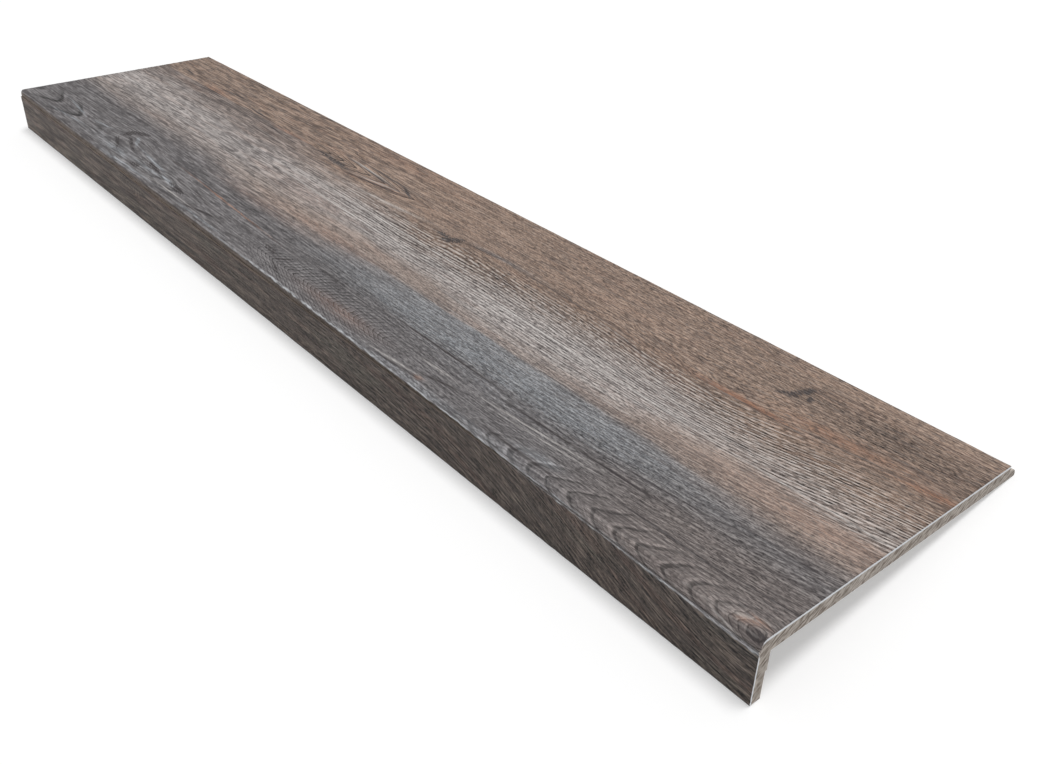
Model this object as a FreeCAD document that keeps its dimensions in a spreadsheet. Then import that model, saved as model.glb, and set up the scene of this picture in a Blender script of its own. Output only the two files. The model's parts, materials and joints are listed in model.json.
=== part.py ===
import FreeCAD, Part
import os
import Sketcher

# Stair tread cap: a flat tread board with a front apron, faced with wood-grain sheet.
# Lengths are in mm. The section lies in Y and Z, and every piece runs along X.
# Section zero is the foot of the apron's front face, with the tread level.

doc = FreeCAD.newDocument("stair_tread")

# Driving sizes
sizes = doc.addObject("Spreadsheet::Sheet", "Sizes")
driving_sizes = [
    ("tread_length", 1220.0, "along the stair's width"),
    ("tread_depth", 260.0, "apron's face to the rear shoulder"),
    ("cap_height", 50.0, "foot of the apron to the walking face"),
    ("core_thickness", 10.0, "tread board under its sheet"),
    ("top_sheet_thickness", 2.0, "walking sheet on the flat"),
    ("fold_thickness", 1.2, "walking sheet where it folds down over the nose"),
    ("fold_drop", 8.0, "how far the fold reaches below the walking face"),
    ("nose_radius", 4.5, "outside of the fold"),
    ("fold_inside_radius", 3.0, "inside of the fold"),
    ("front_sheet_thickness", 1.3, "sheet on the apron's face"),
    ("apron_thickness", 10.5, "apron's face to its back, upper part"),
    ("back_recess", 1.5, "depth of the relief in the apron's back"),
    ("recess_height", 22.5, "foot of the apron to the top of the relief"),
    ("housing_depth", 0.5, "depth and bevel of the apron strip's seat in the board's underside"),
    ("tongue_length", 9.0, "beyond the rear shoulder"),
    ("tongue_thickness", 7.0, "flush with the underside"),
    ("tongue_top_radius", 5.8, "lead-in of the tongue"),
    ("tongue_foot_radius", 1.0, "lower corner of the tongue"),
]
for row, (name, value, note) in enumerate(driving_sizes, 1):
    sizes.set(f"A{row}", name)
    sizes.set(f"B{row}", str(value))
    sizes.set(f"C{row}", note)
    sizes.setAlias(f"B{row}", name)

# Levels and depths worked out from the driving sizes
derived_sizes = [
    ("underside_level", "=cap_height - top_sheet_thickness - core_thickness"),
    ("strip_top_level", "=underside_level + housing_depth"),
    ("housing_back_depth", "=apron_thickness - housing_depth"),
    ("fold_level", "=cap_height - fold_drop"),
    ("core_top_level", "=cap_height - top_sheet_thickness"),
    ("fold_inside_depth", "=front_sheet_thickness + fold_thickness"),
    ("recess_depth", "=apron_thickness - back_recess"),
    ("tongue_end_depth", "=tread_depth + tongue_length"),
    ("tongue_top_level", "=underside_level + tongue_thickness"),
    # Lying unheld, the cap tips back on the apron's back lower edge and the tongue's foot.
    ("foot_centre_run", "=tongue_end_depth - tongue_foot_radius - recess_depth"),
    ("foot_centre_rise", "=underside_level + tongue_foot_radius"),
    ("foot_centre_reach", "=sqrt(foot_centre_run ^ 2 + foot_centre_rise ^ 2)"),
    ("rest_tilt", "=atan(foot_centre_rise / foot_centre_run)"
                  " - asin(tongue_foot_radius / foot_centre_reach)"),
    ("lead_centre_depth", "=tongue_end_depth - tongue_top_radius"),
    ("lead_centre_level", "=tongue_top_level - tongue_top_radius"),
    ("rest_depth", "=lead_centre_depth * cos(rest_tilt)"
                   " + lead_centre_level * sin(rest_tilt) + tongue_top_radius"),
    ("rest_lift", "=recess_depth * sin(rest_tilt)"),
]
first_derived_row = len(driving_sizes) + 2
for row, (name, formula) in enumerate(derived_sizes, first_derived_row):
    sizes.set(f"A{row}", name)
    sizes.set(f"B{row}", formula)
    sizes.setAlias(f"B{row}", name)
doc.recompute()


def origin_plane(body, role):
    """One of the body's own origin planes."""
    return next(feature for feature in body.Origin.OriginFeatures if feature.Role == role)


def section_sketch(body, name, corners):
    """A closed outline in the body's YZ plane; each corner is a pair of size names, depth and level."""
    sketch = body.newObject("Sketcher::SketchObject", name)
    sketch.AttachmentSupport = [(origin_plane(body, "YZ_Plane"), "")]
    sketch.MapMode = "FlatFace"
    places = [
        FreeCAD.Vector(*(0.0 if size == "zero" else float(sizes.get(size)) for size in corner), 0.0)
        for corner in corners
    ]
    count = len(places)
    for index, start in enumerate(places):
        sketch.addGeometry(Part.LineSegment(start, places[(index + 1) % count]))
    for index in range(count):
        sketch.addConstraint(Sketcher.Constraint("Coincident", index, 2, (index + 1) % count, 1))
    origin_and_axes = -1
    level_axis = -2
    for index, (depth, level) in enumerate(corners):
        if depth == "zero":
            sketch.addConstraint(Sketcher.Constraint("PointOnObject", index, 1, level_axis))
        else:
            across = sketch.addConstraint(
                Sketcher.Constraint("DistanceX", origin_and_axes, 1, index, 1, places[index].x))
            sketch.setExpression(f"Constraints[{across}]", f"Sizes.{depth}")
        if level == "zero":
            sketch.addConstraint(Sketcher.Constraint("PointOnObject", index, 1, origin_and_axes))
        else:
            up = sketch.addConstraint(
                Sketcher.Constraint("DistanceY", origin_and_axes, 1, index, 1, places[index].y))
            sketch.setExpression(f"Constraints[{up}]", f"Sizes.{level}")
    doc.recompute()
    return sketch


def full_length_pad(body, name, sketch):
    """The section carried over the whole length, half to each side."""
    pad = body.newObject("PartDesign::Pad", name)
    pad.Profile = sketch
    pad.SideType = "Symmetric"
    pad.setExpression("Length", "Sizes.tread_length")
    doc.recompute()
    return pad


def long_edge(feature, depth, level):
    """Name of the lengthwise edge at a section corner."""
    depth_value = float(sizes.get(depth))
    level_value = float(sizes.get(level))
    for number, edge in enumerate(feature.Shape.Edges, 1):
        middle = edge.BoundBox.Center
        runs_lengthwise = edge.BoundBox.YLength < 0.01 and edge.BoundBox.ZLength < 0.01
        on_corner = abs(middle.y - depth_value) < 0.01 and abs(middle.z - level_value) < 0.01
        if runs_lengthwise and on_corner:
            return f"Edge{number}"
    raise RuntimeError(f"no lengthwise edge at {depth}, {level}")


def rounded_edge(body, name, base, corner, radius):
    """One lengthwise corner rounded to a named radius."""
    fillet = body.newObject("PartDesign::Fillet", name)
    fillet.Base = (base, [long_edge(base, *corner)])
    fillet.setExpression("Radius", f"Sizes.{radius}")
    doc.recompute()
    return fillet


def resting_body(label):
    """A body turned and lifted into the attitude in which the cap lies on a level floor."""
    body = doc.addObject("PartDesign::Body", label)
    body.Label = label
    tilt_axis = FreeCAD.Vector(-1, 0, 0)
    body.Placement = FreeCAD.Placement(FreeCAD.Vector(), FreeCAD.Rotation(tilt_axis, 1.0))
    body.setExpression(".Placement.Rotation.Angle", "Sizes.rest_tilt")
    body.setExpression(".Placement.Base.y", "-Sizes.rest_depth / 2")
    body.setExpression(".Placement.Base.z", "Sizes.rest_lift")
    return body


def tread_board():
    """Core board: nose rebated for the fold, bevelled seat for the strip, rounded rear tongue."""
    body = resting_body("tread_board")
    section = section_sketch(body, "board_section", [
        ("front_sheet_thickness", "strip_top_level"),
        ("housing_back_depth", "strip_top_level"),
        ("apron_thickness", "underside_level"),
        ("tongue_end_depth", "underside_level"),
        ("tongue_end_depth", "tongue_top_level"),
        ("tread_depth", "tongue_top_level"),
        ("tread_depth", "core_top_level"),
        ("fold_inside_depth", "core_top_level"),
        ("fold_inside_depth", "fold_level"),
        ("front_sheet_thickness", "fold_level"),
    ])
    board = full_length_pad(body, "board_length", section)
    nose = rounded_edge(
        body, "nose_round", board, ("fold_inside_depth", "core_top_level"), "fold_inside_radius")
    lead_in = rounded_edge(
        body, "tongue_lead_in", nose, ("tongue_end_depth", "tongue_top_level"), "tongue_top_radius")
    foot_radius = "tongue_foot_radius"
    rounded_edge(body, "tongue_foot", lead_in, ("tongue_end_depth", "underside_level"), foot_radius)
    return body


def apron_strip():
    """Upright strip seated in the board under its nose, its back relieved in the lower part."""
    body = resting_body("apron_strip")
    section = section_sketch(body, "strip_section", [
        ("front_sheet_thickness", "zero"),
        ("recess_depth", "zero"),
        ("recess_depth", "recess_height"),
        ("apron_thickness", "recess_height"),
        ("apron_thickness", "underside_level"),
        ("housing_back_depth", "strip_top_level"),
        ("front_sheet_thickness", "strip_top_level"),
    ])
    full_length_pad(body, "strip_length", section)
    return body


def walking_sheet():
    """Wood-grain sheet on the walking face, folded down over the nose."""
    body = resting_body("walking_sheet")
    section = section_sketch(body, "fold_section", [
        ("front_sheet_thickness", "fold_level"),
        ("fold_inside_depth", "fold_level"),
        ("fold_inside_depth", "core_top_level"),
        ("tread_depth", "core_top_level"),
        ("tread_depth", "cap_height"),
        ("front_sheet_thickness", "cap_height"),
    ])
    sheet = full_length_pad(body, "sheet_length", section)
    inside = rounded_edge(
        body, "fold_inside", sheet, ("fold_inside_depth", "core_top_level"), "fold_inside_radius")
    rounded_edge(
        body, "fold_outside", inside, ("front_sheet_thickness", "cap_height"), "nose_radius")
    return body


def front_sheet():
    """Wood-grain sheet on the apron's face; its upper edge is the narrow ledge under the fold."""
    body = resting_body("front_sheet")
    section = section_sketch(body, "face_section", [
        ("zero", "zero"),
        ("front_sheet_thickness", "zero"),
        ("front_sheet_thickness", "fold_level"),
        ("zero", "fold_level"),
    ])
    full_length_pad(body, "face_length", section)
    return body


bodies = [tread_board(), apron_strip(), walking_sheet(), front_sheet()]
doc.recompute()

for item in doc.Objects:
    if {"Invalid", "Error"} & set(item.State):
        raise RuntimeError(f"{item.Name} did not build: {item.State}")
os.makedirs("parts", exist_ok=True)
for body in bodies:
    if body.Shape.isNull() or not body.Shape.isValid() or len(body.Shape.Solids) != 1:
        raise RuntimeError(f"{body.Label} is not one valid solid")
    body.Shape.exportStep(f"parts/{body.Label}.step")
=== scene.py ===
"""The stair tread cap dressed for its picture: grained sheets, sawn core, floor, light and camera."""

import json
import math

import bpy
from mathutils import Matrix, Vector


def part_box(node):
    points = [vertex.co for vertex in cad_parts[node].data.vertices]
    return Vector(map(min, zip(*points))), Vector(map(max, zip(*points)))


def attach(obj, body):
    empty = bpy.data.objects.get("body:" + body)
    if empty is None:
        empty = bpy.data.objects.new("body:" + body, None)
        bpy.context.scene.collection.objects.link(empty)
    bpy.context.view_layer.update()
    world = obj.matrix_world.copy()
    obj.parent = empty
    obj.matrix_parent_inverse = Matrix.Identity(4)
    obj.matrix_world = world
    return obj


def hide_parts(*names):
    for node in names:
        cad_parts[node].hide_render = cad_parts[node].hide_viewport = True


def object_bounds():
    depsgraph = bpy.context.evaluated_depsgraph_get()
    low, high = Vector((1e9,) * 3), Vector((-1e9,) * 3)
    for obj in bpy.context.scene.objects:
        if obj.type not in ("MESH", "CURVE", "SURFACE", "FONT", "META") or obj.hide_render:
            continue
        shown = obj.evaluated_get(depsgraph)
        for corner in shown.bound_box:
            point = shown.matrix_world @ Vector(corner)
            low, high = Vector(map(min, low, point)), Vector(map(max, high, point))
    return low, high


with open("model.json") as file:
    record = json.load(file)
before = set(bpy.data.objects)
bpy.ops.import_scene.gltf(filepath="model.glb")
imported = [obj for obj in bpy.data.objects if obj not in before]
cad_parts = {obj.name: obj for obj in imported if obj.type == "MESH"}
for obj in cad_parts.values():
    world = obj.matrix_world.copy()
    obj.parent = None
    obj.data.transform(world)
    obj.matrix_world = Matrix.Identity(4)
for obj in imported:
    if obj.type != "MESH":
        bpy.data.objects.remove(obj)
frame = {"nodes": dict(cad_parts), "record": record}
CAD_BOX = [list(corner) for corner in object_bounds()]

bl_info = {
    "name": "Stair Tread Cap",
    "version": (1, 0, 0),
    "blender": (4, 5, 0),
    "location": "3D View > Sidebar > Tread",
    "description": "Grained sheets, sawn core and studio for a stair tread cap",
    "category": "Object",
}

MM = 0.001
PHOTO_WIDTH = 1051


def srgb(red, green, blue):
    """A colour given as it looks on a screen, 0 to 255, as linear light with full alpha."""
    def linear(level):
        share = level / 255
        return share / 12.92 if share <= 0.04045 else ((share + 0.055) / 1.055) ** 2.4
    return (linear(red), linear(green), linear(blue), 1)


def number_property(name, description, default, **more):
    return bpy.props.FloatProperty(name=name, description=description, default=default, **more)


def length_property(name, description, default):
    return number_property(name, description, default, unit="LENGTH", precision=5)


def colour_property(name, description, red, green, blue):
    return bpy.props.FloatVectorProperty(
        name=name, description=description, default=srgb(red, green, blue), size=4,
        subtype="COLOR", min=0, max=1)


class SectionSizes(bpy.types.PropertyGroup):
    """Sizes of the cap's section, with the tread level."""
    tread_length: length_property(
        "Tread length", "Along the stair's width", CAD_BOX[1][0] - CAD_BOX[0][0])
    tread_depth: length_property("Tread depth", "Apron's face to the rear shoulder", 0.26)
    cap_height: length_property("Cap height", "Foot of the apron to the walking face", 0.05)
    sheet_thickness: length_property("Walking sheet", "Sheet on the walking face", 0.002)
    fold_thickness: length_property("Fold", "Walking sheet where it folds over the nose", 0.0012)
    fold_drop: length_property("Fold drop", "Reach of the fold below the walking face", 0.008)
    nose_radius: length_property("Nose radius", "Outside radius of the fold", 0.0045)
    fold_inside_radius: length_property("Fold inside radius", "Inside radius of the fold", 0.003)
    front_thickness: length_property("Front sheet", "Sheet on the apron's face", 0.0013)
    relief_depth: length_property("Relief", "Depth of the embossed grain", 0.0003)
    row_pitch: length_property("Row pitch", "Spacing of mesh rows across the grain", 0.0009)
    column_pitch: length_property("Column pitch", "Spacing of mesh columns along it", 0.005)


class FinishColours(bpy.types.PropertyGroup):
    """Colours of the grained sheets and of the core."""
    slate: colour_property("Slate", "Front of the walking face", 115, 112, 113)
    blue_grey: colour_property("Blue-grey", "Bleached patch behind the nose", 138, 141, 145)
    tan: colour_property("Tan", "Band before the pale one", 154, 139, 130)
    ash: colour_property("Ash", "Pale band along the middle", 166, 159, 156)
    brown: colour_property("Brown", "Rear of the walking face", 147, 126, 112)
    rust: colour_property("Rust", "Warm streaks", 161, 119, 96)
    groove: colour_property("Groove", "Open grain and cracks", 58, 53, 54)
    crest: colour_property("Crest", "Limed crests of the grain", 208, 203, 199)
    apron: colour_property("Apron", "Face of the apron", 101, 91, 84)
    ruddy: colour_property("Ruddy", "Ruddy stretches of the apron", 104, 82, 74)
    mossy: colour_property("Mossy", "Greenish patches of the apron", 92, 90, 82)
    core_pale: colour_property("Core, pale", "Ground of the core", 190, 181, 172)
    core_dark: colour_property("Core, dark", "Streaks in the core", 120, 108, 98)
    cut_edge: colour_property("Cut edge", "Body of the sheets at their edges", 228, 231, 235)


class StudioSettings(bpy.types.PropertyGroup):
    """Light and floor."""
    sky_strength: number_property("Sky", "Even light from all round", 0.42)
    lamp_strength: number_property("Lamp", "Strength of the lamp overhead", 1.85)
    lamp_width: number_property(
        "Lamp width", "How wide the lamp looks from the floor", math.radians(20), subtype="ANGLE")
    floor_bounce: number_property("Floor bounce", "Floor's shade as it lights the cap", 0.8)
    floor_shaded: number_property("Floor shaded", "Share of the floor's look that takes shadow", 0.66)
    floor_glow: number_property("Floor glow", "Share of the floor's look that takes none", 0.38)


def section():
    return bpy.context.scene.tread_section


def finish(name):
    return tuple(getattr(bpy.context.scene.tread_finish, name))


def studio():
    return bpy.context.scene.tread_studio


def level_to_rest():
    """Matrix from the level section, zero at the foot of the apron's face, to the cap as it lies."""
    mounts = {mount["name"]: mount for mount in frame["record"]["mounts"]}
    up = -Vector(mounts["underside"]["axis"]).normalized()
    back = Vector(mounts["apron_back"]["axis"]).normalized()
    along = back.cross(up)
    tilt = math.atan2(-back.z, back.y)
    low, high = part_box("front_sheet")
    lift = section().front_thickness * math.sin(tilt)
    origin = Vector(((low.x + high.x) / 2, low.y, low.z + lift))
    turn = Matrix((along, back, up)).transposed().to_4x4()
    return Matrix.Translation(origin) @ turn


class Number:
    """A number socket in a node tree; arithmetic on it adds Math nodes."""

    def __init__(self, graph, socket):
        self.graph = graph
        self.socket = socket

    def math(self, operation, *others):
        return self.graph.math(operation, self, *others)

    def __add__(self, other):
        return self.math("ADD", other)

    __radd__ = __add__

    def __sub__(self, other):
        return self.math("SUBTRACT", other)

    def __rsub__(self, other):
        return self.graph.math("SUBTRACT", other, self)

    def __mul__(self, other):
        return self.math("MULTIPLY", other)

    __rmul__ = __mul__

    def __truediv__(self, other):
        return self.math("DIVIDE", other)

    def __neg__(self):
        return self.math("MULTIPLY", -1)

    def least(self, other):
        return self.math("MINIMUM", other)

    def most(self, other):
        return self.math("MAXIMUM", other)

    def share(self):
        """Kept between 0 and 1."""
        return self.least(1).most(0)

    def falling(self):
        """e to the minus this."""
        return (-self).math("EXPONENT")

    def step(self, low, high):
        """0 below low, 1 above high, and smooth between them."""
        node = self.graph.add(
            "ShaderNodeMapRange", {"interpolation_type": "SMOOTHSTEP"},
            {"Value": self, "From Min": low, "From Max": high})
        return Number(self.graph, node.outputs[0])

    def band(self, low, high, edge):
        """1 between low and high, falling to 0 over an edge each side."""
        return self.step(low - edge, low + edge) * (1 - self.step(high - edge, high + edge))


class Graph:
    """Adds nodes to one shader or geometry tree."""

    def __init__(self, tree):
        self.tree = tree

    def add(self, kind, settings=None, sockets=None):
        """A node of a kind, its settings set first and then the values or links of its sockets."""
        node = self.tree.nodes.new(kind)
        for name, value in (settings or {}).items():
            setattr(node, name, value)
        for name, value in (sockets or {}).items():
            self.plug(node.inputs[name], value)
        return node

    def plug(self, socket, value):
        if isinstance(value, Number):
            value = value.socket
        if isinstance(value, bpy.types.NodeSocket):
            self.tree.links.new(value, socket)
        else:
            socket.default_value = value

    def math(self, operation, *values):
        node = self.add("ShaderNodeMath", {"operation": operation}, dict(enumerate(values)))
        return Number(self, node.outputs[0])

    def parts(self, vector):
        """The three numbers of a vector."""
        node = self.add("ShaderNodeSeparateXYZ", sockets={0: vector})
        return [Number(self, output) for output in node.outputs]

    def vector(self, x, y, z):
        return self.add("ShaderNodeCombineXYZ", sockets={0: x, 1: y, 2: z}).outputs[0]

    def blend(self, factor, first, second, mode="MIX"):
        """Two colours mixed, each given by its name or as it is."""
        first, second = [finish(side) if isinstance(side, str) else side for side in (first, second)]
        node = self.add(
            "ShaderNodeMix", {"data_type": "RGBA", "blend_type": mode}, {0: factor, 6: first, 7: second})
        return node.outputs[2]

    def toned(self, colour, tone):
        """A colour made lighter or darker."""
        grey = self.add("ShaderNodeCombineColor", None, {0: tone, 1: tone, 2: tone}).outputs[0]
        return self.blend(1, colour, grey, "MULTIPLY")

    def noise(self, x, y, z, detail, roughness=0.55):
        """Noise at three coordinates, about 0 to 1."""
        node = self.add("ShaderNodeTexNoise", None, {
            "Vector": self.vector(x, y, z), "Scale": 1, "Detail": detail, "Roughness": roughness})
        return Number(self, node.outputs[0])


class Grain(Number):
    """A place across the grain, in mm, that knows its place along it; lengths and widths are in mm."""

    def __init__(self, along, across):
        super().__init__(across.graph, across.socket)
        self.along = along

    def streaks(self, length, width, seed, detail=1):
        """Noise drawn out along the grain, about 0 to 1."""
        return self.graph.noise(self.along / length, self / width, seed, detail)

    def crisp(self, length, width, seed, detail=1):
        """Streaks with clean edges, -0.5 to 0.5."""
        return ((self.streaks(length, width, seed, detail) - 0.5) * 3.2).least(0.5).most(-0.5)

    def threads(self, length, width, seed, thin):
        """Thin broken lines along the grain, 0 to 1; the higher thin is, the thinner they are."""
        middle = (self.streaks(length, width, seed) - 0.5).math("ABSOLUTE")
        return (1 - middle * thin).share()

    def two_sizes(self, length, width, seed):
        """Clean streaks, finer at the near end of the decor than at the far end, -0.5 to 0.5."""
        near = self.along.step(-250, 300)
        small = self.crisp(length, width, seed, 0)
        large = self.crisp(length * 2.4, width * 2.2, seed + 0.5, 0)
        return large + near * (small - large)

    def open_lines(self, seed):
        """Thin dark lines of open grain, in patches."""
        near = self.along.step(-250, 250)
        small = self.threads(60, 5, seed, 11)
        large = self.threads(90, 8.5, seed + 0.5, 9)
        patches = self.streaks(50, 9, seed + 2).step(0.38, 0.6)
        return (large + near * (small - large)) * patches

    def strokes(self, degrees, seed):
        """Short strokes that run down to the right across the grain."""
        lean = math.radians(degrees)
        with_stroke = self.along * math.cos(lean) - self * math.sin(lean)
        over_stroke = self * math.cos(lean) + self.along * math.sin(lean)
        return Grain(with_stroke, over_stroke).crisp(8, 1.3, seed)

    def spot(self, x, y, left, right, half, strength, slope=0):
        """Strength at a place in mm, falling to 0 to the left, to the right and across a sloped line."""
        kind = self.graph.tree.bl_idname
        values = (self.along, self, x, y, left, right, half, strength, slope)
        node = self.graph.add(
            GROUP_NODES[kind], {"node_tree": soft_spot(kind)}, dict(enumerate(values)))
        return Number(self.graph, node.outputs[0])

    def marks(self, places):
        """The strongest of several spots, 0 to 1."""
        total = None
        for place in places.values():
            mark = self.spot(*place)
            total = mark if total is None else total.most(mark)
        return total


GROUP_NODES = {"ShaderNodeTree": "ShaderNodeGroup", "GeometryNodeTree": "GeometryNodeGroup"}
SPOT_INPUTS = ("Along", "Across", "X", "Y", "Left", "Right", "Half Width", "Strength", "Slope")


def soft_spot(kind):
    """Node group of one soft spot, made once for each kind of tree."""
    name = "soft_spot_" + kind
    if name in bpy.data.node_groups:
        return bpy.data.node_groups[name]
    tree = bpy.data.node_groups.new(name, kind)
    for socket_name in SPOT_INPUTS:
        tree.interface.new_socket(socket_name, in_out="INPUT", socket_type="NodeSocketFloat")
    tree.interface.new_socket("Weight", in_out="OUTPUT", socket_type="NodeSocketFloat")
    graph = Graph(tree)
    given = [Number(graph, socket) for socket in graph.add("NodeGroupInput").outputs[:len(SPOT_INPUTS)]]
    along, across, x, y, left, right, half, strength, slope = given
    beside = along - x
    to_left = beside.least(0) / left
    to_right = beside.most(0) / right
    aside = (across - y - beside * slope) / half
    weight = (to_left * to_left + to_right * to_right + aside * aside).falling() * strength
    graph.add("NodeGroupOutput", None, {0: weight})
    return tree


# Places where the grain lines bend, in mm: place along and across, reach to the left and to the
# right, half width, and how far the lines are pushed over.
WALKING_BENDS = {
    "under the front knot": (-340, 45, 45, 60, 16, -7),
    "over the rear small knot": (98, 175, 24, 70, 14, -6),
    "dip before the large knot": (425, 160, 130, 110, 36, 17),
    "rise to the near end": (720, 120, 190, 100, 95, -34),
    "fan behind the near arches": (340, 30, 90, 140, 14, 8),
}
FRONT_BENDS = {
    "slope at the near end": (610, 20, 190, 100, 400, 105),
    "sag in the middle": (-40, 10, 120, 160, 60, -6),
}
# How far the grain lines waver between the bends, in mm.
WALKING_WAVER = 9.0
FRONT_WAVER = 6.0

# Figures where the lines turn round, in mm: place along and across, reach to the left and to the
# right, half width, the way the tips lean (1 to the right, -1 to the left, 0 for closed rings),
# how steep the arms are behind the tips and in front of them, how blunt the tips are, their
# spacing along, and strength.
WALKING_FIGURES = {
    "far cathedral": (-515, 25, 75, 75, 13, 1, 3, 3.4, 13, 65, 1.1),
    "front eye": (-205, 20, 105, 90, 11, 1, 6, 3.6, 8, 48, 0.35),
    "front arches": (108, 20, 80, 80, 14, -1, 1.1, 2.9, 5, 7.5, 2),
    "near arches": (480, 5, 120, 110, 14, -1, 1.7, 1.4, 8, 21, 0.9),
    "near corner knot": (603, 4, 20, 20, 10, 0, 1.3, 1.3, 3, 6, 1.2),
    "rear flame": (-85, 199, 90, 75, 10, 1, 6, 3.6, 6, 27, 1.2),
}
FRONT_FIGURES = {
    "small knot": (-262, 33, 26, 30, 9, 0, 1.8, 1.8, 3, 7, 1),
}


def bent_across(across, bends, waver):
    """The place across the grain with its bends taken out, so that each value is one grain line."""
    bent = across
    for bend in bends.values():
        bent = bent + across.spot(*bend)
    slow = across.streaks(260, 45, 3.7, 2) - 0.5
    quick = across.streaks(55, 14, 6.1) - 0.5
    return Grain(across.along, bent + slow * waver + quick * (waver * 0.25))


def figure_place(across, figures, wander=0):
    """Which line of the strongest figure a place is on, and how strongly the figure shows there."""
    ring = across * 0
    shown = ring
    for x, y, left, right, half, lean, behind, before, blunt, spacing, strength in figures.values():
        weight = across.spot(x, y, left, right, half, strength)
        beside = across.along - x
        aside = (across - y).most(0) * behind + (across - y).least(0) * before
        if lean:
            line = beside * lean + (aside * aside + blunt ** 2).math("SQRT")
        else:
            line = (beside * beside + aside * aside).math("SQRT")
        ring = ring + weight.math("GREATER_THAN", shown) * ((line + wander) / spacing - ring)
        shown = shown.most(weight)
    return ring, (shown * 2.2).share()


def ribs(bent):
    """Evenly spaced lines along the grain, -1 to 1."""
    wander = bent.streaks(70, 7, 9) * 8
    return (bent * (2 * math.pi / 3.3) + wander).math("SINE")


def grain_lines(bent, rib):
    """Long grain lines, from grooves at 0 to crests at 1."""
    lines = bent.streaks(70, 2.4, 0)
    breaks = bent.streaks(20, 1.4, 8.3, 0)
    return ((lines - 0.5) * 1.8 + (breaks - 0.5) * 1.2 + rib * 0.16 + 0.5).share()


def relief_tree(name, bends, figures):
    """Geometry tree that presses the grain into a sheet and keeps the grain's coordinates."""
    tree = bpy.data.node_groups.new(name, "GeometryNodeTree")
    for socket_name, kind, side in (
            ("Sheet", "NodeSocketGeometry", "INPUT"),
            ("Relief Depth", "NodeSocketFloat", "INPUT"),
            ("Waver", "NodeSocketFloat", "INPUT"),
            ("Face", "NodeSocketMaterial", "INPUT"),
            ("Cut Edge", "NodeSocketMaterial", "INPUT"),
            ("Sheet", "NodeSocketGeometry", "OUTPUT")):
        tree.interface.new_socket(socket_name, in_out=side, socket_type=kind)
    graph = Graph(tree)
    given = graph.add("NodeGroupInput").outputs

    def named(attribute, kind="FLOAT"):
        node = graph.add("GeometryNodeInputNamedAttribute", {"data_type": kind}, {"Name": attribute})
        return node.outputs[0]

    place = graph.parts(graph.add("GeometryNodeInputPosition").outputs[0])
    along = place[0] * 1000
    across = Grain(along, Number(graph, named("across_mm")))
    bent = bent_across(across, bends, Number(graph, given["Waver"]))
    _, shown = figure_place(across, figures)
    height = grain_lines(bent, ribs(bent))
    depth = Number(graph, given["Relief Depth"]) * Number(graph, named("shown"))
    push = graph.add(
        "ShaderNodeVectorMath", {"operation": "SCALE"},
        {0: named("outward", "FLOAT_VECTOR"), "Scale": (height - 1) * (1 - shown * 0.5) * depth})
    moved = graph.add(
        "GeometryNodeSetPosition", None, {"Geometry": given["Sheet"], "Offset": push.outputs[0]})
    kept = graph.add(
        "GeometryNodeStoreNamedAttribute", {"data_type": "FLOAT_VECTOR", "domain": "POINT"},
        {"Geometry": moved.outputs[0], "Name": "grain", "Value": graph.vector(along, bent, across)})
    real = graph.add("GeometryNodeRealizeInstances", None, {0: kept.outputs[0]})
    faced = graph.add(
        "GeometryNodeSetMaterial", None, {"Geometry": real.outputs[0], "Material": given["Face"]})
    cut = graph.add(
        "GeometryNodeSetMaterial", None,
        {"Geometry": faced.outputs[0], "Selection": named("cut", "BOOLEAN"),
         "Material": given["Cut Edge"]})
    graph.add("NodeGroupOutput", None, {0: cut.outputs[0]})
    return tree


def sheet_mesh(name, outer, inner, columns):
    """Closed sheet from its section: outer points carry the grain, inner points close the back.

    Each outer point is (depth, level, outward depth, outward level, place across in mm).
    """
    half = section().tread_length / 2
    across_count = len(outer)
    places = [-half + 2 * half * column / columns for column in range(columns + 1)]
    vertices = [(x, point[0], point[1]) for x in places for point in outer]
    back_start = len(vertices)
    vertices += [(x, depth, level) for x in (-half, half) for depth, level in inner]
    back_count = len(inner)

    def front(column, row):
        return column * across_count + row

    def back(end, row):
        return back_start + end * back_count + row

    rows = range(across_count)
    faces = [
        (front(column, row), front(column, row + 1), front(column + 1, row + 1), front(column + 1, row))
        for column in range(columns) for row in rows[:-1]
    ]
    grained = len(faces)
    first_row = [front(column, 0) for column in range(columns + 1)]
    last_row = [front(column, across_count - 1) for column in range(columns + 1)]
    faces.append(tuple(first_row) + (back(1, back_count - 1), back(0, back_count - 1)))
    faces.append(tuple(reversed(last_row)) + (back(0, 0), back(1, 0)))
    for row in range(back_count - 1):
        faces.append((back(0, row), back(0, row + 1), back(1, row + 1), back(1, row)))
    far_end = [front(0, row) for row in rows] + [back(0, row) for row in range(back_count)]
    near_end = [front(columns, row) for row in rows] + [back(1, row) for row in range(back_count)]
    faces.append(tuple(reversed(far_end)))
    faces.append(tuple(near_end))
    mesh = bpy.data.meshes.new(name)
    mesh.from_pydata(vertices, [], faces)

    hidden = len(vertices) - back_start
    across = [point[4] for _ in places for point in outer] + [0] * hidden
    shown = [1] * back_start + [0] * hidden
    outward = [value for _ in places for point in outer for value in (0, point[2], point[3])]
    outward += [0] * (3 * hidden)
    cut = [face >= grained for face in range(len(faces))]
    for attribute, kind, domain, field, values in (
            ("across_mm", "FLOAT", "POINT", "value", across),
            ("shown", "FLOAT", "POINT", "value", shown),
            ("outward", "FLOAT_VECTOR", "POINT", "vector", outward),
            ("cut", "BOOLEAN", "FACE", "value", cut)):
        mesh.attributes.new(attribute, kind, domain).data.foreach_set(field, values)
    mesh.polygons.foreach_set("use_smooth", [not is_cut for is_cut in cut])
    mesh.validate()
    return mesh


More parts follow.
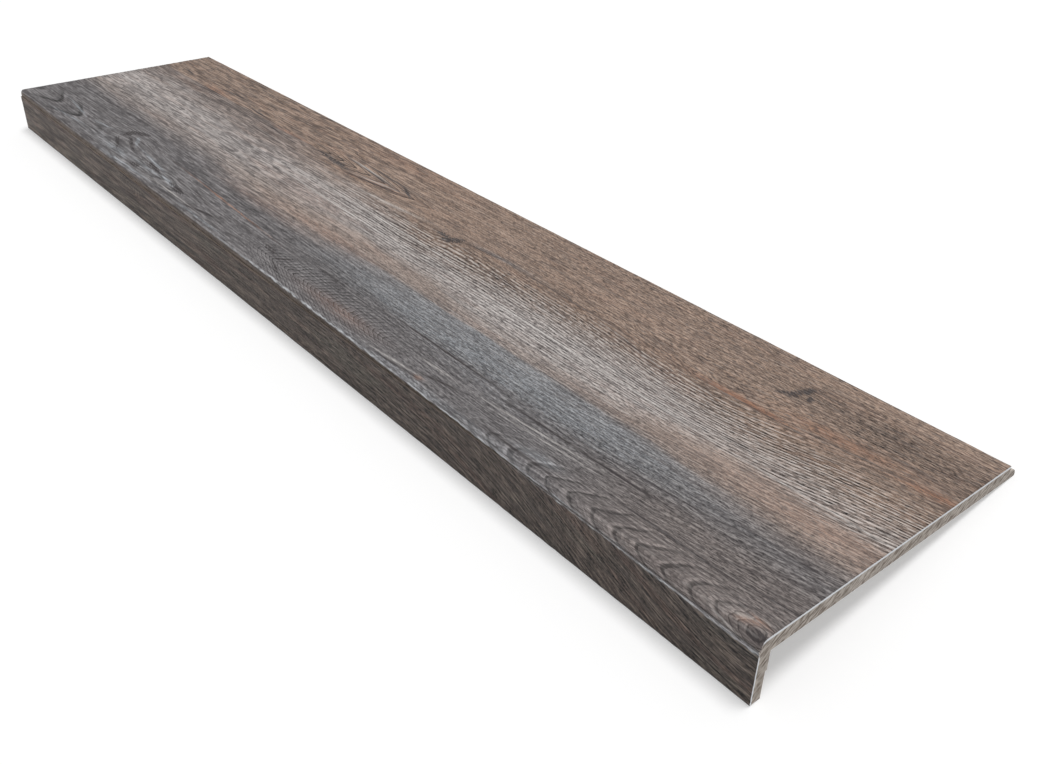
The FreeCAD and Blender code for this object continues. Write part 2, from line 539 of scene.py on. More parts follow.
def linked(name, data):
    """A new object in the scene."""
    item = bpy.data.objects.new(name, data)
    bpy.context.scene.collection.objects.link(item)
    return item


def grained_piece(node, outer, inner, bends, figures, waver, face):
    """A sheet with its relief pressed in, laid as the cap rests, standing for a CAD node."""
    sizes = section()
    columns = round(sizes.tread_length / sizes.column_pitch)
    source = linked(node + "_blank", sheet_mesh(node + "_blank", outer, inner, columns))
    modifier = source.modifiers.new("Grain", "NODES")
    modifier.node_group = relief_tree(node + "_relief", bends, figures)
    cut_edge = bpy.data.materials.get("sheet_cut_edge") or cut_edge_material()
    inputs = {
        "Relief Depth": sizes.relief_depth, "Waver": waver, "Face": face, "Cut Edge": cut_edge}
    for item in modifier.node_group.interface.items_tree:
        if item.in_out == "INPUT" and item.name in inputs:
            modifier[item.identifier] = inputs[item.name]
    depsgraph = bpy.context.evaluated_depsgraph_get()
    finished = bpy.data.meshes.new_from_object(source.evaluated_get(depsgraph))
    bpy.data.objects.remove(source)
    finished.name = node + "_grained"
    finished.transform(level_to_rest())
    for spare in ("across_mm", "shown", "outward", "cut"):
        finished.attributes.remove(finished.attributes[spare])
    piece = linked(finished.name, finished)
    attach(piece, "root")
    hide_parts(node)


def steps(start, stop, pitch):
    """Evenly spaced values from start to stop, about a pitch apart, both ends included."""
    count = max(1, round(abs(stop - start) / pitch))
    return [start + (stop - start) * index / count for index in range(count + 1)]


def walking_outline():
    """Outer points of the walking sheet, from the fold's lower edge over the nose to the rear."""
    sizes = section()
    radius = sizes.nose_radius
    centre_depth = sizes.front_thickness + radius
    centre_level = sizes.cap_height - radius
    bend = radius * math.pi / 2
    points = []
    for level in steps(sizes.cap_height - sizes.fold_drop, centre_level, sizes.row_pitch)[:-1]:
        across = centre_depth - bend - (centre_level - level)
        points.append((sizes.front_thickness, level, -1, 0, across / MM))
    for angle in steps(0, math.pi / 2, sizes.row_pitch / radius)[:-1]:
        outward = (-math.cos(angle), math.sin(angle))
        depth = centre_depth + radius * outward[0]
        level = centre_level + radius * outward[1]
        across = centre_depth - radius * (math.pi / 2 - angle)
        points.append((depth, level, *outward, across / MM))
    for depth in steps(centre_depth, sizes.tread_depth, sizes.row_pitch):
        points.append((depth, sizes.cap_height, 0, 1, depth / MM))
    return points


def walking_back():
    """Inner points of the walking sheet, from the rear edge to the fold's lower edge."""
    sizes = section()
    inside = sizes.front_thickness + sizes.fold_thickness
    under = sizes.cap_height - sizes.sheet_thickness
    radius = sizes.fold_inside_radius
    bend = [
        (inside + radius * (1 - math.sin(angle)), under - radius * (1 - math.cos(angle)))
        for angle in steps(0, math.pi / 2, math.pi / 12)
    ]
    return [(sizes.tread_depth, under)] + bend + [(inside, sizes.cap_height - sizes.fold_drop)]


class Surface(Graph):
    """The graph of a fresh material, with its shader."""

    def __init__(self, name):
        self.material = bpy.data.materials.new(name)
        self.material.use_nodes = True
        super().__init__(self.material.node_tree)
        self.tree.nodes.clear()
        self.shader = self.add("ShaderNodeBsdfPrincipled")
        self.add("ShaderNodeOutputMaterial", None, {"Surface": self.shader.outputs[0]})

    def finished(self, colour, roughness, specular=0.25, relief=None):
        """The material with its colour, its gloss and, in mm, its fine relief."""
        inputs = self.shader.inputs
        self.plug(inputs["Base Color"], colour)
        self.plug(inputs["Roughness"], roughness)
        inputs["Specular IOR Level"].default_value = specular
        if relief is not None:
            node = self.add("ShaderNodeBump", None, {"Height": relief * MM, "Distance": 1, "Strength": 1})
            self.plug(inputs["Normal"], node.outputs[0])
        return self.material


def kept_grain(graph):
    """The place along the grain, and across it with its bends taken out and as it is."""
    node = graph.add("ShaderNodeAttribute", {"attribute_name": "grain"})
    along, bent, across = graph.parts(node.outputs["Vector"])
    return along, Grain(along, bent), Grain(along, across)


def figure_lines(across, figures):
    """Dark lines of the figures, the pale rims beside them, the fine lines between, and the strength."""
    wander = (across.streaks(45, 16, 61, 2) - 0.5) * 16
    wander = wander + (across.streaks(9, 3.5, 62) - 0.5) * 3
    ring, shown = figure_place(across, figures, wander)
    phase = ring.math("FRACT")
    between = (ring * 5 + wander * 0.1).math("FRACT") - 0.5
    patchy = across.streaks(30, 6, 63).step(0.12, 0.4)
    strength = shown * patchy
    dark = phase.step(0.62, 0.9) * (1 - phase.step(0.95, 1)) * strength
    pale = (1 - phase.step(0.05, 0.26)) * phase.step(0, 0.03) * strength
    return dark, pale, between * strength, strength


# Marks of the walking face, in mm: place along and across, reach to the left and to the right,
# half width, strength, and slope where it isn't level.
DARK_BLOTS = {
    "rear small knot": (91, 173, 10, 8, 5.5, 2.6, 0.5),
    "its left side": (74, 174, 13, 12, 3, 1.3, -0.1),
    "front knot": (-363, 57, 12, 11, 3.6, 3.2, 0.3),
    "front knot's neck": (-371, 46, 8, 8, 8, 1.1),
    "front knot's tail": (-340, 37, 22, 24, 2.2, 1.7, -0.33),
    "under front knot": (-354, 26, 18, 20, 2.6, 1.3, -0.4),
    "heart of front eye": (-250, 26, 24, 12, 2.6, 1.7, -0.12),
    "wedge of front eye": (-180, 20, 28, 20, 3.8, 1.1, -0.12),
    "spot in pool": (-275, 14, 10, 9, 3.6, 1.5),
    "rear large knot": (465, 223, 4, 4.5, 9, 2, 0.8),
    "its heart": (462, 215, 5, 5, 6, 1.5, 0.5),
    "its foot": (455, 211, 6, 5, 3, 1.1, 0.6),
    "its right side": (474, 218, 3.5, 4, 6, 1.1, -0.6),
    "over large knot": (471, 234, 7, 9, 1.6, 0.8, 0.1),
    "heart of rear flame": (-150, 191, 42, 32, 4, 1.1, -0.05),
    "left of rear flame": (-182, 194, 16, 16, 2.5, 1.1, 0.05),
    "near corner knot": (604, 3, 7, 12, 4.5, 1.35, 0.1),
    "before arches": (2, 28, 16, 20, 3.5, 1.2, -0.1),
    "first front arch": (31, 27, 9, 10, 2.4, 1.5, 0.8),
    "its other arm": (40, 13, 20, 22, 1.5, 1.4, -0.32),
    "far rear spot": (-565, 210, 12, 10, 2, 0.7, -0.1),
}
# Broad lighter and darker places; their strength is what they add to the tone.
SHADES = {
    "far pale band": (-500, 133, 120, 100, 13, 0.12),
    "far rear": (-440, 234, 200, 180, 22, -0.08),
    "before middle": (-70, 54, 60, 60, 9, -0.06),
    "behind front arches": (105, 46, 110, 120, 21, -0.27),
    "far rear grey": (-500, 168, 120, 110, 28, 0.045),
    "behind front knot": (-300, 72, 90, 90, 8, 0.09),
    "before rear flame": (-100, 150, 90, 90, 9, 0.05),
    "small knot": (100, 170, 90, 90, 8, -0.03),
    "before small knot": (90, 150, 120, 150, 22, -0.27),
    "middle tan": (90, 103, 100, 110, 8, 0.045),
    "behind dip": (300, 216, 115, 110, 18, 0.13),
    "under far pale band": (-500, 102, 110, 110, 12, -0.18),
    "behind far front": (-300, 103, 90, 90, 8, -0.04),
    "far tan patch": (-465, 201, 34, 32, 3.5, 0.1),
    "far rear corner": (-585, 201, 40, 30, 3.5, 0.09),
    "far front": (-290, 18, 100, 90, 12, 0.045),
    "middle front": (-100, 19, 90, 90, 13, 0.06),
    "round rear flame": (-100, 207, 100, 90, 24, 0.13),
    "middle pale band": (-100, 134, 90, 90, 8, -0.07),
    "near blue": (500, 56, 90, 90, 7, -0.04),
    "before near tan": (500, 87, 90, 90, 7, -0.09),
    "near tan": (510, 104, 100, 110, 9, 0.29),
    "near ribs": (500, 150, 100, 100, 9, -0.055),
    "blue patch": (310, 56, 90, 110, 9, -0.08),
    "dip": (340, 154, 110, 140, 12, -0.08),
    "before large knot": (405, 200, 45, 40, 10, -0.1),
    "behind large knot": (530, 222, 60, 140, 16, -0.32),
    "rear near end": (530, 252, 140, 120, 8, 0.21),
    "near front": (515, 45, 120, 140, 36, -0.16, 0.05),
    "far cathedral": (-540, 20, 90, 100, 12, -0.14),
}
DARK_SEAMS = {
    "far seam": (-480, 74, 75, 110, 1.4, 0.9, 0.02),
    "far front seam": (-500, 51, 90, 110, 1.3, 0.5, 0.01),
    "far rear crack": (-556, 208, 18, 14, 1.5, 1, -0.15),
    "second rear crack": (-440, 211, 26, 34, 1.3, 0.9, 0.09),
    "edge of far grey": (-462, 195.5, 34, 34, 1.3, 0.8),
    "line behind far grey": (-345, 201, 32, 36, 1.3, 0.8, -0.06),
    "line at far flame": (-285, 188, 30, 26, 1.3, 0.7, -0.12),
    "grey line at rear": (-400, 185, 110, 90, 1.1, 0.5, -0.01),
    "tail of rear flame": (-30, 203, 14, 12, 1.7, 1.2, -0.42),
    "upper line of flame": (-95, 204, 50, 45, 1.3, 1.1, -0.1),
    "lower line of flame": (-70, 190, 50, 45, 1.3, 1.2, 0.13),
    "edge of flame": (-85, 212, 60, 50, 1.2, 0.8, -0.05),
    "line under eye": (-115, 14.5, 28, 24, 1.5, 1.5, 0.2),
    "line over eye": (-150, 31, 24, 26, 1.1, 0.8, -0.17),
    "line behind eye": (-128, 61, 40, 45, 1, 0.6, 0.02),
    "line left of arches": (-30, 31, 50, 40, 1.2, 0.5),
    "line from small knot": (125, 181, 25, 30, 1.1, 0.8, 0.1),
    "its run to right": (230, 181, 90, 100, 1, 0.55, -0.03),
    "line of dip": (345, 168, 40, 40, 1, 0.6, -0.16),
    "seam behind nose": (250, 47, 60, 80, 1, 1),
    "long seam": (420, 42, 100, 80, 1, 1.1, 0.03),
    "seam to near end": (510, 58, 110, 60, 0.9, 0.75, 0.1),
    "its end": (590, 70, 40, 60, 0.9, 0.65, 0.03),
    "near front seam": (515, 25, 50, 60, 0.9, 1.1, 0.02),
    "near front seam's end": (590, 31, 30, 60, 0.9, 0.7, 0.1),
    "pith line": (395, 8, 50, 45, 0.8, 0.7, 0.01),
    "loop's line": (285, 17, 25, 25, 1.2, 0.9, 0.22),
    "nose crack": (240, 5, 32, 28, 1, 0.9, 0.07),
    "lower edge of rust": (455, 176, 50, 60, 1, 0.6, 0.03),
    "its rise": (535, 186, 45, 45, 1, 0.5, 0.12),
}
WARM_STREAKS = {
    "rust under large knot": (443, 178.5, 36, 36, 2.6, 2, 0.02),
    "lines left of rear flame": (-262, 196, 36, 40, 2.4, 0.6, 0.03),
    "middle of pale band": (-100, 122, 90, 90, 13, 0.22),
    "rust behind it": (520, 193, 50, 50, 7, 0.6, 0.08),
    "rust at rear end": (595, 190, 25, 30, 5, 0.8, 0.05),
    "inside flame": (-65, 193, 50, 35, 4, 0.55, 0.12),
    "front orange line": (-125, 45, 80, 75, 0.9, 1.2, -0.045),
    "warm arches": (150, 16, 60, 45, 7, 0.3),
    "spot in loop": (271, 8, 5, 5, 2, 0.6),
    "rim of near corner knot": (593, 8, 7, 8, 3, 0.55, 0.3),
    "over near corner knot": (600, 12.5, 7, 7, 1.6, 0.6, -0.1),
    "far patch": (-462, 201, 32, 32, 5, 0.7),
    "near tan": (560, 105, 105, 90, 15, 0.28),
    "behind middle front": (-100, 72, 90, 80, 7, 0.2),
    "middle rear edge": (-100, 248, 100, 100, 12, 0.25),
    "middle tan": (10, 86, 90, 60, 7, 0.3),
}
PALE_LINES = {
    "far pale line": (-545, 131, 70, 60, 0.9, 0.8),
    "far corner pale line": (-590, 114, 25, 30, 0.8, 0.6),
    "middle pale line": (-60, 130, 75, 120, 1, 0.9, -0.02),
    "its run": (280, 126, 120, 140, 1, 0.9, -0.02),
    "near pale line": (540, 123, 60, 90, 0.9, 0.8, 0.02),
    "rear pale line": (40, 145, 150, 140, 1, 0.7, -0.01),
    "rear ribs": (-10, 174, 50, 45, 2.2, 0.6, 0.08),
    "upper light of flame": (-112, 207, 30, 40, 1.3, 0.8, -0.08),
    "lower light of flame": (-70, 194, 40, 34, 1.3, 0.7, 0.14),
    "front pale line": (-185, 12, 40, 45, 0.8, 0.9),
    "rim of near corner knot": (590, 9, 7, 8, 1.6, 0.55, 0.35),
    "light before near knot": (586, -3, 12, 10, 0.9, 0.7, -0.25),
    "second light before it": (580, -1, 10, 12, 0.8, 0.6, -0.2),
    "fan line": (380, 33, 60, 60, 0.8, 0.8, 0.08),
    "second fan line": (390, 29, 50, 50, 0.7, 0.6, 0.08),
    "line over nose crack": (238, 7.5, 30, 25, 0.8, 0.8, 0.07),
    "pale line in loop": (270, 27, 20, 20, 0.9, 0.8, 0.04),
}
COOL_SWEEPS = {
    "pool under front knot": (-335, 16, 32, 42, 6, 0.9, -0.05),
    "beside front knot": (-344, 46, 8, 16, 2.6, 1.4, -0.5),
    "over front eye": (-268, 33, 38, 34, 2, 1.5, -0.1),
    "under front eye": (-262, 20, 38, 42, 2.1, 1),
    "tip of front eye": (-207, 22, 22, 22, 2.2, 1.4, -0.1),
    "left of front knot": (-415, 36, 30, 26, 2, 0.8, 0.12),
    "along far nose": (-280, 5, 70, 60, 2.4, 0.9, 0.02),
    "in far cathedral": (-490, 34, 50, 30, 1.8, 1, -0.12),
    "under far cathedral": (-470, 15, 60, 50, 2, 0.8, 0.08),
    "middle nose": (-110, 6, 50, 60, 1.8, 0.9),
    "before rear flame": (-100, 170, 90, 90, 8, 0.35),
    "under blue patch": (300, 40, 90, 90, 8, 0.35),
    "behind small knot": (145, 184, 40, 60, 3.4, 0.5, 0.03),
    "far front": (-330, 18, 130, 120, 13, 0.42),
    "near nose": (290, 1, 140, 130, 4.5, 0.55),
    "before near arches": (405, 14, 24, 22, 5, 0.7, 0.1),
    "far rear grey": (-500, 170, 110, 100, 12, 0.35),
}


# In the photo the nose's lower edge starts to fall at this place along, in mm, with this slope.
LEDGE_TURNS_AT = 50
LEDGE_FALL = 0.0138


def past_nose(across):
    """How far a place is before the ragged line where the nose gives way to the apron, in mm."""
    chips = (across.streaks(7, 4, 72, 2) - 0.5) * across.along.step(-150, 150)
    fall = (across.along - LEDGE_TURNS_AT).most(0) * LEDGE_FALL
    return Grain(across.along, across - 0.9 + fall + chips * 3)


def apron_light(along):
    """The apron's shade along its length."""
    return 1.12 - along.step(-500, 300) * 0.3


def pale_nose_line(beyond):
    """Broken pale line where the nose meets the apron; beyond is the distance past it in mm."""
    broken_up = beyond.streaks(14, 3, 71, 2).step(0.34, 0.6)
    reach = beyond.along.step(-130, 120) * (1 - beyond.along.step(380, 520) * 0.45)
    offset = (beyond - 0.5) / 0.95
    return (offset * offset).falling() * broken_up * reach


def walking_material():
    """Weathered grey-brown grain of the walking face."""
    graph = Surface("walking_grain")
    along, bent, across = kept_grain(graph)
    drift = (across.streaks(320, 60, 1.3, 2) - 0.5) * 20
    fray = (bent.streaks(45, 3, 5.1, 2) - 0.5) * 18
    place = across + drift + fray
    far = 1 - along.step(-260, -60)
    middle = along.band(-190, 40, 50)
    near = along.step(380, 520)
    centre = along.band(190, 420, 60)

    to_tan = (place + middle * 8 + near * 5 - far * 8).step(64, 102)
    tan = graph.blend(far * 0.45, "tan", "ash")
    colour = graph.blend(to_tan, "slate", tan)
    to_ash = (place + centre * 15 - near * 9 + far * 5).step(97, 124)
    ash = graph.blend(near * 0.45, "ash", "tan")
    colour = graph.blend(to_ash, colour, ash)
    to_brown = place - far * 6 + along.step(-20, 90) * 17 - centre * 7 + near * 2
    to_brown = to_brown.step(137, 184)
    colour = graph.blend(to_brown, colour, "brown")
    greyed = (1 - along.step(-260, -130)) * (1 - (across + fray * 0.35).step(194.5, 198.5))
    colour = graph.blend(to_brown * greyed * 0.55, colour, "slate")
    blue = place.step(40, 60) * (1 - (across + fray * 0.5).step(82, 90))
    blue = blue * along.step(-40, 200) * (1 - along.step(390, 580) * 0.9)
    colour = graph.blend(blue * 0.85, colour, "blue_grey")
    mottle = bent.streaks(110, 9, 15, 2)
    warmth = bent.streaks(110, 9, 17, 2).step(0.45, 0.75)
    colour = graph.blend(warmth * place.step(60, 110) * 0.15, colour, "rust")
    earthy = near * (1 - across.step(40, 75)) * 0.25
    colour = graph.blend(earthy, colour, "brown")

    broad = bent.streaks(240, 8, 11, 2) - 0.5
    rib = ribs(bent)
    height = grain_lines(bent, rib)
    dark, pale, between, figured = figure_lines(across, WALKING_FIGURES)
    distant = 1 - along.step(-380, 80)
    calm = (1 - figured * 0.45) * (1 - distant * 0.36)
    lines = bent.two_sizes(17, 1.2, 29) * calm * (1 + distant * 0.5)
    fine = bent.two_sizes(5.5, 0.85, 31) * calm
    strokes = across.strokes(27, 33) * calm
    stipple = across.two_sizes(2, 1.05, 35) * calm * (1 - distant * 0.5)
    beads = bent.crisp(5.5, 3, 37, 0)
    first_rib = place + along.step(-60, 330) * 24 - near * 16
    ribbed = first_rib.step(114, 138) * (1 - place.step(158, 178)) * along.step(-210, 60)
    rib = (rib * 1.5).least(1).most(-1)
    front = 1 - across.step(40, 60)
    rear = place.step(165, 185)
    tone = 0.985 + (mottle - 0.5) * 0.24 + broad * 0.24
    tone += (height - 0.5) * (0.2 - ribbed * 0.08 - front * near * 0.1)
    tone += lines * (0.18 + front * 0.05 + rear * 0.1) + fine * (0.6 - blue * 0.12)
    tone += strokes * (0.17 + rear * 0.22 + blue * 0.06 - ribbed * 0.08) * (1 - distant * 0.4)
    tone += stipple * (0.38 + blue * 0.12 - rear * 0.06)
    tone += rib * (beads + 0.55) * (0.04 + ribbed * (0.42 + near * 0.2)) + front * 0.02
    drifting = Grain(along + drift, place)
    for shade in SHADES.values():
        tone += drifting.spot(*shade)
    tone = tone * (1 - dark * (0.82 - along.step(0, 300) * 0.26) + pale * 0.45 + between * 0.42)
    colour = graph.toned(colour, tone)

    jitter = (bent.streaks(18, 3, 41, 2) - 0.5) * 3.2
    ragged = 1 + (fine + strokes) * 0.9
    loose = along + jitter * 1.5
    jittered = Grain(loose, across + jitter)
    steadier = Grain(loose, across + jitter * 0.45)
    cool = Grain(loose, across + jitter * 0.6).marks(COOL_SWEEPS) * (0.7 + ragged * 0.3)
    cool = cool.step(0, 1.1)
    colour = graph.blend(cool * 0.9, colour, graph.toned("blue_grey", tone.most(0.9) * 1.12))
    warm = jittered.marks(WARM_STREAKS) * ragged
    colour = graph.blend(warm.share() * 0.85, colour, "rust")
    blots = jittered.marks(DARK_BLOTS) * (0.2 + ragged * 0.8 + strokes)
    blots = blots.step(0.3, 1.15 - distant * 0.2)
    seams = steadier.marks(DARK_SEAMS) * (0.75 + ragged * 0.25)
    colour = graph.blend((blots.most(seams * 1.3)).share() * 0.9, colour, "groove")

    grooves = (1 - height.step(0.14, 0.3)) * (0.3 - front * near * 0.15)
    pores = bent.two_sizes(7, 0.95, 51).step(0.22, 0.42) * 0.55
    pores = pores.most(bent.open_lines(45) * 0.55)
    colour = graph.blend(grooves.most(pores).share(), colour, "groove")
    crests = (height * 0.5 + rib * (beads + 0.7) * 0.45 + lines * 0.4 + fine * 0.5).step(0.3, 0.8)
    crests = crests * (0.1 + ribbed * 0.42 + blue * 0.06)
    limed = steadier.marks(PALE_LINES) * (0.6 + ragged * 0.4)
    colour = graph.blend((crests + limed * 0.65).share(), colour, "crest")

    beyond = past_nose(across)
    # Painted light: the colour is lightened round the nose and down the fold, so that they look as lit as
    # the walking face.
    flat_from = (section().front_thickness + section().nose_radius) / MM
    painted_nose_light = (flat_from - across).most(0) / 11
    colour = graph.toned(colour, 1 + painted_nose_light * 0.75)
    # Below the ragged nose line the fold takes the apron's colour. It is lightened towards the corner
    # over the ledge, where shade falls, and darkened where the fold turns up into the light: painted
    # light and painted shade.
    turned_under = 1 - beyond.step(-0.8, 0.2)
    painted_shade_upturned = 1 - (across + 1.3).most(0) * 0.09
    painted_light_in_corner = 1 - across.step(-4.8, -2.6)
    apron = tone * painted_shade_upturned * apron_light(along) * (1.16 + painted_light_in_corner * 0.6)
    apron = graph.toned("apron", apron)
    colour = graph.blend(turned_under, colour, apron)
    colour = graph.blend(pale_nose_line(beyond), colour, "cut_edge")
    return graph.finished(colour, 0.66 - height * 0.14, relief=(lines + fine + strokes) * 0.16)


def front_material():
    """Darker grain of the apron's face."""
    graph = Surface("apron_grain")
    along, bent, across = kept_grain(graph)
    mottle = bent.streaks(170, 11, 2, 2)
    patch = across.streaks(120, 16, 7)
    height = grain_lines(bent, ribs(bent))
    lines = bent.two_sizes(34, 2.1, 20)
    fine = bent.two_sizes(10, 1.15, 22)
    strokes = across.strokes(24, 24)
    stipple = across.crisp(2.2, 1.1, 26, 0)
    saw_marks = Grain(across, along).crisp(30, 1.7, 28, 0)
    sawn = along.band(250, 560, 60)
    colour = graph.toned("apron", apron_light(along))
    colour = graph.blend(mottle.step(0.46, 0.7) * 0.45, colour, "ruddy")
    colour = graph.blend(patch.step(0.5, 0.7) * 0.35, colour, "mossy")
    close = 0.7 + along.step(-350, 100) * 0.45
    tone = lines * 0.48 + fine * 0.9 + strokes * 0.5 + stipple * 0.5
    tone = 1.09 + (height - 0.5) * 0.34 + tone * close + saw_marks * sawn * 0.26
    dark, pale, _, _ = figure_lines(across, FRONT_FIGURES)
    colour = graph.toned(colour, tone * (1 - dark * 0.5 + pale * 0.3))
    pores = bent.two_sizes(7, 1.1, 52).step(0.22, 0.44)
    pores = pores.most(bent.open_lines(46))
    grooves = (1 - height.step(0.14, 0.32)) * 0.45
    pale_fibres = (lines + fine).step(0.4, 0.9) * 0.3
    colour = graph.blend(pale_fibres, colour, "tan")
    foot = 1 - across.step(0.4, 2.6)
    colour = graph.blend(grooves.most(pores * 0.5).most(foot * 0.6), colour, "groove")
    fold_foot = walking_outline()[0]
    beyond = past_nose(Grain(along, across - fold_foot[1] / MM + fold_foot[4]))
    # Above the ragged nose line the front sheet carries the nose's slate colour, lightened as painted
    # light so that it looks as lit as the nose.
    painted_lit_nose = beyond.step(-0.6, 0.4)
    colour = graph.blend(painted_lit_nose, colour, graph.toned("slate", tone * 1.55))
    colour = graph.blend(pale_nose_line(beyond), colour, "cut_edge")
    return graph.finished(colour, 0.68 - height * 0.12, relief=(lines + fine + strokes) * 0.16)


def level_place(graph):
    """Object coordinates turned back to the level section, in mm."""
    rest = level_to_rest()
    turned = graph.add(
        "ShaderNodeMapping", {"vector_type": "TEXTURE"},
        {"Vector": graph.add("ShaderNodeTexCoord").outputs["Object"],
         "Location": rest.translation, "Rotation": rest.to_euler()})
    return [number * 1000 for number in graph.parts(turned.outputs[0])]


def core_colour(graph, along, across, up):
    """Colour of the core, and its curly dark streaks from 0 to 1."""
    lean = math.radians(36)
    with_grain = across * math.cos(lean) + up * math.sin(lean)
    over_grain = up * math.cos(lean) - across * math.sin(lean)
    waver = (Grain(with_grain, over_grain).streaks(9, 7, 1, 2) - 0.5) * 5
    streak = graph.noise(with_grain / 9, (over_grain + waver) / 1.7, along / 120, 2)
    fine = graph.noise(with_grain / 3, over_grain / 0.7, along / 25, 1, 0.5)
    colour = graph.blend(streak.step(0.36, 0.6), "core_dark", "core_pale")
    return graph.toned(colour, 1 + (fine - 0.5) * 0.7), streak


def cut_edge_material():
    """Pale body of the sheets where it shows at their cut edges; round the nose the sheet ends show the
    core, and the ledge takes the colours beside it with painted light.
    """
    graph = Surface("sheet_cut_edge")
    along, across, up = level_place(graph)
    speckle = Grain(along + across, up).streaks(3, 1.5, 4, 2) - 0.5
    clean = graph.toned("cut_edge", 1 + speckle * 0.25)
    core, _ = core_colour(graph, along, across, up)
    half = section().tread_length / 2 / MM
    at_end = along.math("ABSOLUTE").step(half - 1, half - 0.5)
    around_nose = (1 - across.step(2, 4.5)) * up.step(37, 40.5) * (1 - up.step(47.4, 48.4))
    colour = graph.blend(around_nose * at_end, clean, core)
    # The ledge under the nose takes the apron's colour, and the nose's slate towards the near end. It is
    # lightened towards the far end: painted light where the downward-facing ledge lies in shade.
    ledge = (1 - at_end) * (1 - across.step(5, 8)) * (1 - up.step(43, 44)) * up.step(40, 41)
    ledge_beside_colour = graph.blend(along.step(360, 430), "apron", "slate")
    colour = graph.blend(ledge, colour, graph.toned(ledge_beside_colour, 1.5 - along.step(-100, 350) * 0.6 + speckle))
    return graph.finished(colour, 0.5, 0.5)


def core_material():
    """Grey-beige core with curly brown streaks, seen at the ends and underneath."""
    graph = Surface("curly_core")
    along, across, up = level_place(graph)
    colour, streak = core_colour(graph, along, across, up)
    return graph.finished(colour, 0.7, relief=streak * 0.2)


class TREAD_OT_walking_sheet(bpy.types.Operator):
    """Grained sheet over the walking face and the nose"""
    bl_idname = "tread.walking_sheet"
    bl_label = "Walking Sheet"

    def execute(self, context):
        grained_piece(
            "walking_sheet", walking_outline(), walking_back(),
            WALKING_BENDS, WALKING_FIGURES, WALKING_WAVER, walking_material())
        return {"FINISHED"}


class TREAD_OT_front_sheet(bpy.types.Operator):
    """Grained sheet on the apron's face"""
    bl_idname = "tread.front_sheet"
    bl_label = "Front Sheet"

    def execute(self, context):
        sizes = section()
        top = sizes.cap_height - sizes.fold_drop
        outer = [(0, level, -1, 0, level / MM) for level in steps(0, top, sizes.row_pitch)]
        inner = [(sizes.front_thickness, top), (sizes.front_thickness, 0)]
        grained_piece(
            "front_sheet", outer, inner,
            FRONT_BENDS, FRONT_FIGURES, FRONT_WAVER, front_material())
        return {"FINISHED"}


class TREAD_OT_core(bpy.types.Operator):
    """Sawn finish of the board and the apron strip"""
    bl_idname = "tread.core"
    bl_label = "Core"

    def execute(self, context):
        sawn = core_material()
        for name in ("tread_board", "apron_strip"):
            materials = frame["nodes"][name].data.materials
            materials.clear()
            materials.append(sawn)
        return {"FINISHED"}


def floor_material():
    """White floor that keeps the cap's shadow and lights it evenly."""
    graph = Surface("studio_floor")
    rays = graph.add("ShaderNodeLightPath").outputs
    seen = Number(graph, rays["Is Camera Ray"]).most(Number(graph, rays["Is Glossy Ray"]))
    shade = studio().floor_bounce + seen * (studio().floor_shaded - studio().floor_bounce)
    glow = seen * studio().floor_glow
    graph.plug(graph.shader.inputs["Emission Color"], graph.vector(glow, glow, glow))
    graph.shader.inputs["Emission Strength"].default_value = 1
    return graph.finished(graph.vector(shade, shade, shade), 1, 0)


def even_sky():
    """White to the camera, and an even soft light to everything else."""
    world = bpy.data.worlds.new("studio_sky")
    world.use_nodes = True
    world.node_tree.nodes.clear()
    graph = Graph(world.node_tree)
    rays = graph.add("ShaderNodeLightPath").outputs
    seen = Number(graph, rays["Is Camera Ray"])
    strength = studio().sky_strength + seen * (1 - studio().sky_strength)
    sky = graph.add("ShaderNodeBackground", None, {"Strength": strength})
    sky.inputs["Color"].default_value = (1, 1, 1, 1)
    graph.add("ShaderNodeOutputWorld", None, {"Surface": sky.outputs[0]})
    bpy.context.scene.world = world


# The camera, found from the photo's edges with the tread level, and the lamp. Angles are in degrees.
CAMERA_FOCAL_PIXELS = 1070.36
CAMERA_AZIMUTH = 49.8225
CAMERA_ELEVATION = 32.4076
CAMERA_ROLL = 1.2367
CAMERA_TARGET = (0.21841, 0.09682)
CAMERA_DISTANCE = 0.7339
SENSOR_WIDTH = 36
LAMP_TURN = (-15.6, 7, 0)
FLOOR_REACH = 9


def camera_place():
    """The camera's matrix before the cap is tipped; its target and distance are shares of the length."""
    length = section().tread_length
    turn = Matrix.Rotation(math.radians(CAMERA_AZIMUTH), 4, "Z")
    turn = turn @ Matrix.Rotation(math.radians(90 - CAMERA_ELEVATION), 4, "X")
    turn = turn @ Matrix.Rotation(math.radians(CAMERA_ROLL), 4, "Z")
    target = Matrix.Translation(Vector((*CAMERA_TARGET, 0)) * length)
    return target @ turn @ Matrix.Translation((0, 0, CAMERA_DISTANCE * length))


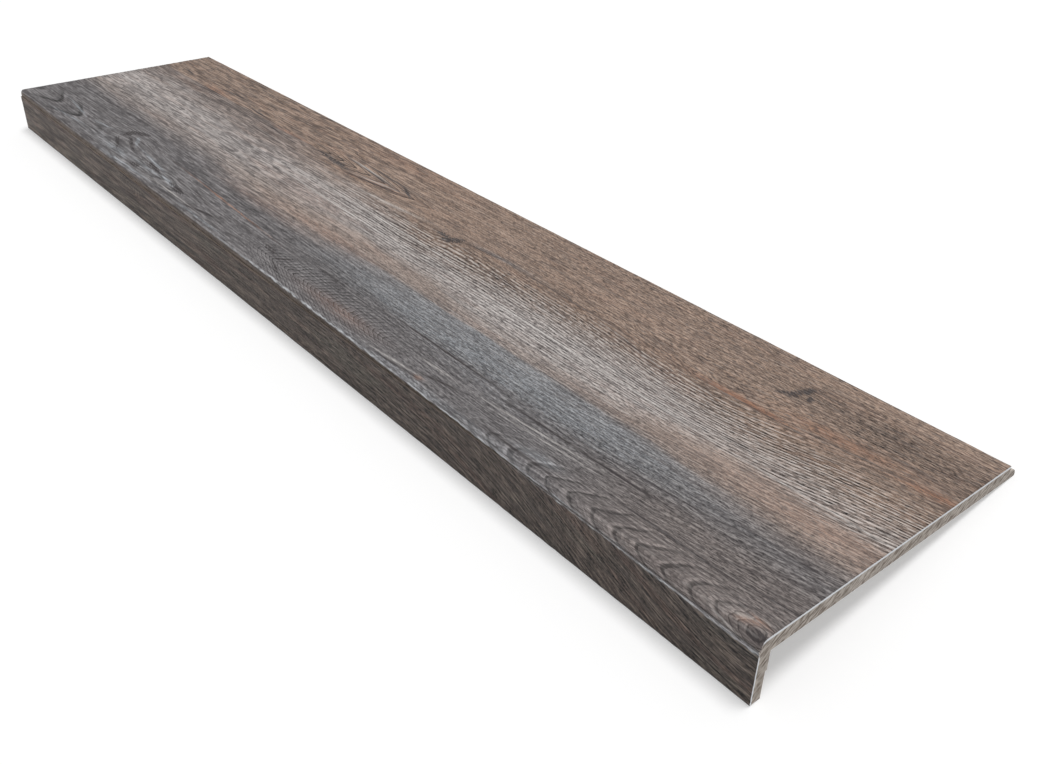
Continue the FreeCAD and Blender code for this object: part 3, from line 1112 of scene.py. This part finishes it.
class TREAD_OT_studio(bpy.types.Operator):
    """Floor, light and camera"""
    bl_idname = "tread.studio"
    bl_label = "Studio"

    def execute(self, context):
        scene = context.scene
        mesh = bpy.data.meshes.new("studio_floor")
        turns = ((-1, -1), (1, -1), (1, 1), (-1, 1))
        corners = [(x * FLOOR_REACH, y * FLOOR_REACH, 0) for x, y in turns]
        mesh.from_pydata(corners, [], [(0, 1, 2, 3)])
        mesh.materials.append(floor_material())
        floor = linked("studio_floor", mesh)
        even_sky()

        lamp_data = bpy.data.lights.new("overhead_lamp", "SUN")
        lamp_data.energy = studio().lamp_strength
        lamp_data.angle = studio().lamp_width
        lamp = linked("overhead_lamp", lamp_data)
        lamp.rotation_euler = [math.radians(angle) for angle in LAMP_TURN]

        camera_data = bpy.data.cameras.new("photo_camera")
        camera_data.sensor_fit = "HORIZONTAL"
        camera_data.sensor_width = SENSOR_WIDTH
        camera_data.lens = CAMERA_FOCAL_PIXELS * SENSOR_WIDTH / PHOTO_WIDTH
        camera_data.clip_start = 0.01
        camera = linked("photo_camera", camera_data)
        camera.matrix_world = level_to_rest() @ camera_place()
        scene.camera = camera
        scene.view_settings.view_transform = "Standard"
        return {"FINISHED"}


class TREAD_PT_panel(bpy.types.Panel):
    """Buttons for the pieces of the tread cap"""
    bl_label = "Stair Tread Cap"
    bl_space_type = "VIEW_3D"
    bl_region_type = "UI"
    bl_category = "Tread"

    def draw(self, context):
        for operator in OPERATORS:
            self.layout.operator(operator.bl_idname)


OPERATORS = (TREAD_OT_studio, TREAD_OT_walking_sheet, TREAD_OT_front_sheet, TREAD_OT_core)
SETTINGS = {
    "tread_section": SectionSizes, "tread_finish": FinishColours, "tread_studio": StudioSettings}
CLASSES = (*SETTINGS.values(), *OPERATORS, TREAD_PT_panel)


def register():
    for item in CLASSES:
        bpy.utils.register_class(item)
    for name, kind in SETTINGS.items():
        setattr(bpy.types.Scene, name, bpy.props.PointerProperty(type=kind))


def unregister():
    for name in SETTINGS:
        delattr(bpy.types.Scene, name)
    for item in reversed(CLASSES):
        bpy.utils.unregister_class(item)


def main():
    register()
    bpy.ops.tread.studio()
    bpy.ops.tread.walking_sheet()
    bpy.ops.tread.front_sheet()
    bpy.ops.tread.core()


if __name__ == "__main__":
    main()
